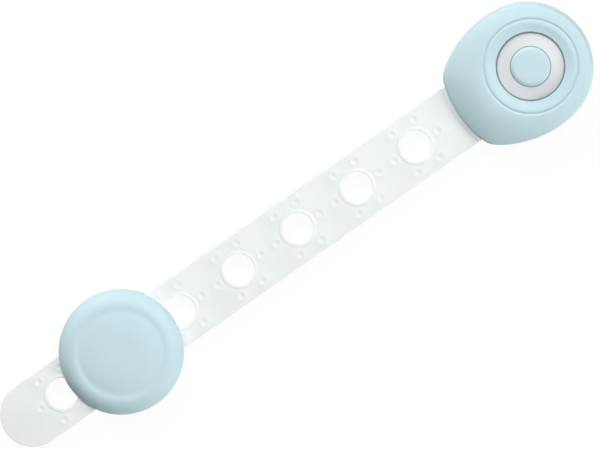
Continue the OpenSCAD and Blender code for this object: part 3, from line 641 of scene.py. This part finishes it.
def centreButtonPiece():
    p = centreButton
    flat, many = p["radius"] - p["edge"], p["crownSteps"]
    profile = [(0, p["top"])]
    profile += [(flat * k / many, p["top"] - p["crown"] * (k / many) ** 2) for k in range(1, many)]
    fall, many = p["edgeHeight"] - p["crown"], p["edgeSteps"]
    profile += [(flat + p["edge"] * k / many, p["top"] - p["crown"] - fall * (k / many) ** 2)
                for k in range(many + 1)]
    profile += [(p["radius"], p["bottom"]), (p["radius"] - p["wall"], p["bottom"]),
                (p["radius"] - p["wall"], p["ceiling"]), (0, p["ceiling"])]
    piece = joinPieces([spunPiece("centreButton", profile, steps=128, closed=False),
                        legsBelow("centre_button", p["bottom"], p["legEdge"])], "centreButton")
    smoothFaces(piece)
    finishPiece(piece, bluePlastic, "centre", ["centre_button"])


centreButtonPiece()


# the anchor's cap

cap = {"x": -152.8, "radius": 19.2, "foot": 1.2, "top": 10.6, "flat": 4.6, "domeRadius": 35, "domeEnd": 12.2,
       "ledge": 13.6, "ledgeSlope": -1.5, "edgeStart": 14.1, "edgeDepth": 6.2, "wall": 1.75, "ceiling": 8.55,
       "ceilingEnd": 13.0, "seats": ((14.5, 15.5, 4.75), (12.4, 13.4, 6.2)), "footEdge": 0.25,
       "slotHalf": 10.3, "slotTop": 4.9, "topStep": 0.2, "edgeSteps": 24}


def capSlope(radius):
    # how steeply the cap's top falls at one radius: level, then a wide arc, then a ledge that rises a little
    steep = math.tan(math.asin((min(radius, cap["domeEnd"]) - cap["flat"]) / cap["domeRadius"]))
    flatter = smoothStep(cap["domeEnd"], cap["ledge"], radius)
    return steep * (1 - flatter) + math.tan(math.radians(cap["ledgeSlope"])) * flatter


def anchorCapPiece():
    p = cap
    height, radius = p["top"], p["flat"]
    profile = [(0, height), (radius / 2, height), (radius, height)]
    while radius < p["edgeStart"] - near["weld"] / 2:
        step = min(p["topStep"], p["edgeStart"] - radius)
        height -= step * capSlope(radius + step / 2)
        radius += step
        profile.append((radius, height))
    side, inner, edge = height - p["edgeDepth"], p["radius"] - p["wall"], p["footEdge"]
    turns = [math.pi / 2 * k / p["edgeSteps"] for k in range(p["edgeSteps"] + 1)]
    profile += [(radius + (p["radius"] - radius) * math.sin(t), side + p["edgeDepth"] * math.cos(t))
                for t in turns[1:]]
    profile += arc((p["radius"] - edge, p["foot"] + edge), edge, 0, -90, 4)
    profile += arc((inner + edge, p["foot"] + edge), edge, -90, -180, 4)
    profile += [(p["ceilingEnd"] + (inner - p["ceilingEnd"]) * math.sin(t),
                 side + (p["ceiling"] - side) * math.cos(t)) for t in turns[::-1]]
    profile.append((0, p["ceiling"]))
    piece = spunPiece("anchorCap", profile, steps=192, closed=False)
    bpy.ops.mesh.primitive_cube_add(size=1, location=(0, 0, 0))
    slot = bpy.context.object
    slot.scale = (4 * p["radius"] * mm, 2 * p["slotHalf"] * mm, 2 * p["slotTop"] * mm)
    makeActive(slot)
    bpy.ops.object.transform_apply(location=True, rotation=True, scale=True)
    applyModifier(piece, "BOOLEAN", {"operation": "DIFFERENCE", "object": slot, "solver": "EXACT"})
    bpy.data.objects.remove(slot)
    roof = p["ceiling"]
    seats = [spunPiece("seat", [(low, foot), (high, foot), (high, roof), (low, roof)], steps=96)
             for low, high, foot in p["seats"]]
    piece = joinPieces([piece] + seats, "anchorCap")
    makeActive(piece)
    bpy.ops.object.mode_set(mode="EDIT")
    bpy.ops.mesh.select_all(action="SELECT")
    bpy.ops.transform.translate(value=(p["x"] * mm, 0, 0))
    bpy.ops.object.mode_set(mode="OBJECT")
    smoothFaces(piece)
    finishPiece(piece, bluePlastic, "cap", ["anchor_cap"])


anchorCapPiece()


# the strap, with its holes, rims and dimples

strap = {"half": 10, "bottom": 3.0, "top": 4.6, "edge": 0.2, "lockEnd": -21.5, "roundCentre": -185.8,
         "firstHole": -42.8, "pitch": 22, "holes": 7, "holeRadius": 4.83, "rimWidth": 0.9, "rimHeight": 0.15,
         "rimEdge": 0.14, "rimFadeIn": 0.45, "rimFade": 0.75, "holeFoot": 0.25, "dimpleRing": 8.1,
         "dimpleRadius": 1.05, "dimpleDepth": 0.12, "dimpleFlat": 0.15, "dimpleCentre": 0.001,
         "dimpleRim": 0.035, "dimpleRimStep": 0.08, "dimples": 6, "anchorHole": 5, "pressedDepth": 0.45,
         "sideSteps": 30,
         "shoulderArc": 34.95, "shoulderCentre": 7.3, "shoulderHalf": 9.85, "shoulderTop": 5.1,
         "shoulderEdge": 0.25, "shoulderLap": 0.6, "shoulderSink": 0.4}


def stadium(inset, steps=64):
    # the strap's outline, drawn in by inset: square at the lock, round at the free end
    p = strap
    half, many = p["half"] - inset, p["sideSteps"]
    straight = p["lockEnd"] - p["roundCentre"]
    points = [(p["lockEnd"] - inset, y) for y in (-half, -half / 2, 0, half / 2, half)]
    points += [(p["lockEnd"] - straight * k / many, half) for k in range(1, many + 1)]
    points += [(p["roundCentre"] - half * math.sin(math.pi * k / steps), half * math.cos(math.pi * k / steps))
               for k in range(1, steps)]
    points += [(p["roundCentre"] + straight * k / many, -half) for k in range(many)]
    return points


def strapBorder():
    p = strap
    rows = []
    for inset, height in (arc((p["edge"], p["bottom"] + p["edge"]), p["edge"], -90, -180, 5)
                          + arc((p["edge"], p["top"] - p["edge"]), p["edge"], 180, 90, 5)):
        rows.append([(x, y, height) for x, y in stadium(inset)])
    return wrappedGrid("strapBorder", rows, closed=False)


def openRing(name, profile, at, steps):
    rows = [[(at[0] + r * math.cos(math.tau * k / steps), at[1] + r * math.sin(math.tau * k / steps), z)
             for k in range(steps)] for r, z in profile]
    return wrappedGrid(name, rows, closed=False)


def strapHoles():
    p = strap
    hole, edge, outer = p["holeRadius"], p["rimEdge"], p["holeRadius"] + p["rimWidth"]
    rimTop = p["top"] + p["rimHeight"]
    foot, top = p["holeFoot"], p["top"]
    profile = arc((hole + foot, p["bottom"] + foot), foot, -90, -180, 5)
    profile += arc((hole + edge, rimTop - edge), edge, 180, 90, 6)
    fade = outer - p["rimFadeIn"]
    profile += [(fade + p["rimFade"] * k / 8, top + p["rimHeight"] * (1 - smoothStep(0, 1, k / 8)))
                for k in range(9)]
    pieces = [openRing("rim", profile, (p["firstHole"] - p["pitch"] * k, 0), 96) for k in range(p["holes"])]
    for number in range(p["holes"]):
        # the insert's studs press the anchor's own dimples deeper
        deep = p["pressedDepth"] if number == p["anchorHole"] else p["dimpleDepth"]
        bowl = [(p["dimpleCentre"], top - deep)]
        bowl += [(p["dimpleRadius"] * k / 10, top - deep * (1 - smoothStep(p["dimpleFlat"], 1, k / 10)))
                 for k in range(2, 11)]
        bowl += [(p["dimpleRadius"] + p["dimpleRimStep"] * k, top + p["dimpleRim"] * math.sin(math.pi * k / 8))
                 for k in range(1, 9)]
        middle = p["firstHole"] - p["pitch"] * number
        for k in range(p["dimples"]):
            turn = math.tau * k / p["dimples"]
            at = middle + p["dimpleRing"] * math.cos(turn), p["dimpleRing"] * math.sin(turn)
            pieces.append(openRing("dimple", bowl, at, 24))
    return pieces


def strapShoulder():
    # the thicker end that closes the lock's mouth
    p = strap
    rows = []
    edge, sunk = p["shoulderEdge"], p["top"] - p["shoulderSink"]
    section = [(p["shoulderLap"], sunk), (0, sunk)] + arc((edge, p["shoulderTop"] - edge), edge, 180, 90, 5)
    for inset, height in section:
        half, reach = p["shoulderHalf"] - inset, p["shoulderArc"] - inset
        row = []
        for k in range(25):
            y = -half + 2 * half * k / 24
            row.append((p["shoulderCentre"] - math.sqrt(reach ** 2 - y ** 2), y, height))
        row += [(p["lockEnd"] - inset, half - 2 * half * k / 12, height) for k in range(13)]
        rows.append(row)
    piece = wrappedGrid("strapShoulder", rows, closed=False)
    fillFlat(piece, p["shoulderTop"])
    fillFlat(piece, sunk)
    return piece


def strapPiece():
    piece = joinPieces([strapBorder()] + strapHoles(), "strapBody")
    fillFlat(piece, strap["top"])
    fillFlat(piece, strap["bottom"])
    makeActive(piece)
    bpy.ops.object.mode_set(mode="EDIT")
    weldMesh()
    bpy.ops.object.mode_set(mode="OBJECT")
    piece = joinPieces([piece, strapShoulder()], "strapBody")
    smoothFaces(piece)
    finishPiece(piece, strapPlastic, "strap_body", ["strap"])


strapPiece()


# adhesive foam pads

pads = {"thickness": 1.0, "drawnIn": 0.12, "lockInset": 2.62, "lockSteps": 180, "anchorRadius": 16.4,
        "anchorSteps": 120}


def lockPadOutline(waist):
    turns = [math.tau * k / pads["lockSteps"] for k in range(pads["lockSteps"])]
    return [tuple(outlinePoint(turn, pads["lockInset"] + waist)) for turn in turns]


def anchorPadOutline(waist):
    turns = [math.tau * k / pads["anchorSteps"] for k in range(pads["anchorSteps"])]
    radius = pads["anchorRadius"] - waist
    return [(cap["x"] + radius * math.cos(turn), radius * math.sin(turn)) for turn in turns]


def padPiece(name, outline, body, node):
    # a die-cut pad: its sides draw in a little between the two skins
    rows = []
    for k in range(9):
        height = pads["thickness"] * k / 8
        waist = pads["drawnIn"] * math.sin(math.pi * k / 8)
        rows.append([(*point, height) for point in outline(waist)])
    piece = wrappedGrid(name, rows, closed=False)
    fillFlat(piece, 0)
    fillFlat(piece, pads["thickness"])
    smoothFaces(piece)
    finishPiece(piece, foamPlastic, body, [node])


padPiece("lockPad", lockPadOutline, "lock_housing", "lock_pad")
padPiece("anchorPad", anchorPadOutline, "anchor", "anchor_pad")


# the pieces inside, and what the CAD already shapes well

innerPieces = {  # slot, body and edge radius
    "strap_tongue": ("white_plastic", "strap_body", 0.12),
    "anchor_base": ("white_plastic", "anchor", 0.15),
    "anchor_insert": ("white_plastic", "cap", 0.1),
    "lock_base": ("white_plastic", "lock_housing", 0.08),
    "button_frame": ("white_plastic", "lock_housing", 0.06),
    "left_latch": ("latch_plastic", "left_catch", 0.06),
    "right_latch": ("latch_plastic", "right_catch", 0.06),
}
for node, (slotName, body, width) in innerPieces.items():
    roundedCopy(node, latchPlastic if slotName == "latch_plastic" else whitePlastic, body, width)
frame["nodes"]["cover_screws"].data.materials.clear()
frame["nodes"]["cover_screws"].data.materials.append(screwSteel)


# springs of round wire

springs = {
    "ringSpring": {"node": "ring_spring", "axis": "z", "radius": 8.2, "wire": 0.5, "turns": 3,
                   "joint": "ring_press", "anchor": (0, 0, 8.8), "keep": 0.545},
    "centreSpring": {"node": "centre_spring", "axis": "z", "radius": 2.1, "wire": 0.5, "turns": 4,
                     "joint": "centre_press", "anchor": (0, 0, 8.8), "keep": 0.565},
    "leftLatchSpring": {"node": "left_latch_spring", "axis": "y", "radius": 1.45, "wire": 0.4, "turns": 5,
                        "joint": "left_latch_slide", "anchor": (0, 15.5, 0), "keep": 0.7},
    "rightLatchSpring": {"node": "right_latch_spring", "axis": "y", "radius": 1.45, "wire": 0.4, "turns": 5,
                         "joint": "right_latch_slide", "anchor": (0, -15.5, 0), "keep": 0.7},
}
wireSteps = {"round": 12, "turn": 40, "smoothAngle": 60}


def springPiece(name, p):
    low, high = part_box(p["node"])
    middle = (low + high) / 2
    length = (high - low).z if p["axis"] == "z" else (high - low).y
    clearSelection()
    bpy.ops.mesh.primitive_circle_add(vertices=wireSteps["round"], radius=p["wire"] / 2 * mm, fill_type="NGON",
                                      rotation=(math.pi / 2, 0, 0), location=(p["radius"] * mm, 0, 0))
    piece = bpy.context.object
    piece.name = piece.data.name = name
    bpy.ops.object.transform_apply(location=True, rotation=True, scale=True)
    rise, steps = length - p["wire"] * mm, wireSteps["turn"] * p["turns"]
    applyModifier(piece, "SCREW", {"angle": math.tau * p["turns"], "screw_offset": rise,
                                   "steps": steps, "render_steps": steps, "axis": "Z"})
    makeActive(piece)
    bpy.ops.object.mode_set(mode="EDIT")
    weldMesh()
    bpy.ops.transform.translate(value=(0, 0, -rise / 2))
    if p["axis"] == "y":
        bpy.ops.transform.rotate(value=math.pi / 2, orient_axis="X", center_override=(0, 0, 0))
    bpy.ops.transform.translate(value=middle)
    bpy.ops.object.mode_set(mode="OBJECT")
    smoothFaces(piece, wireSteps["smoothAngle"])
    finishPiece(piece, springSteel, "lock_housing", [p["node"]])
    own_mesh(piece)


for name, spring in springs.items():
    springPiece(name, spring)

bpy.context.scene.view_settings.view_transform = "Standard"
print("all pieces made")
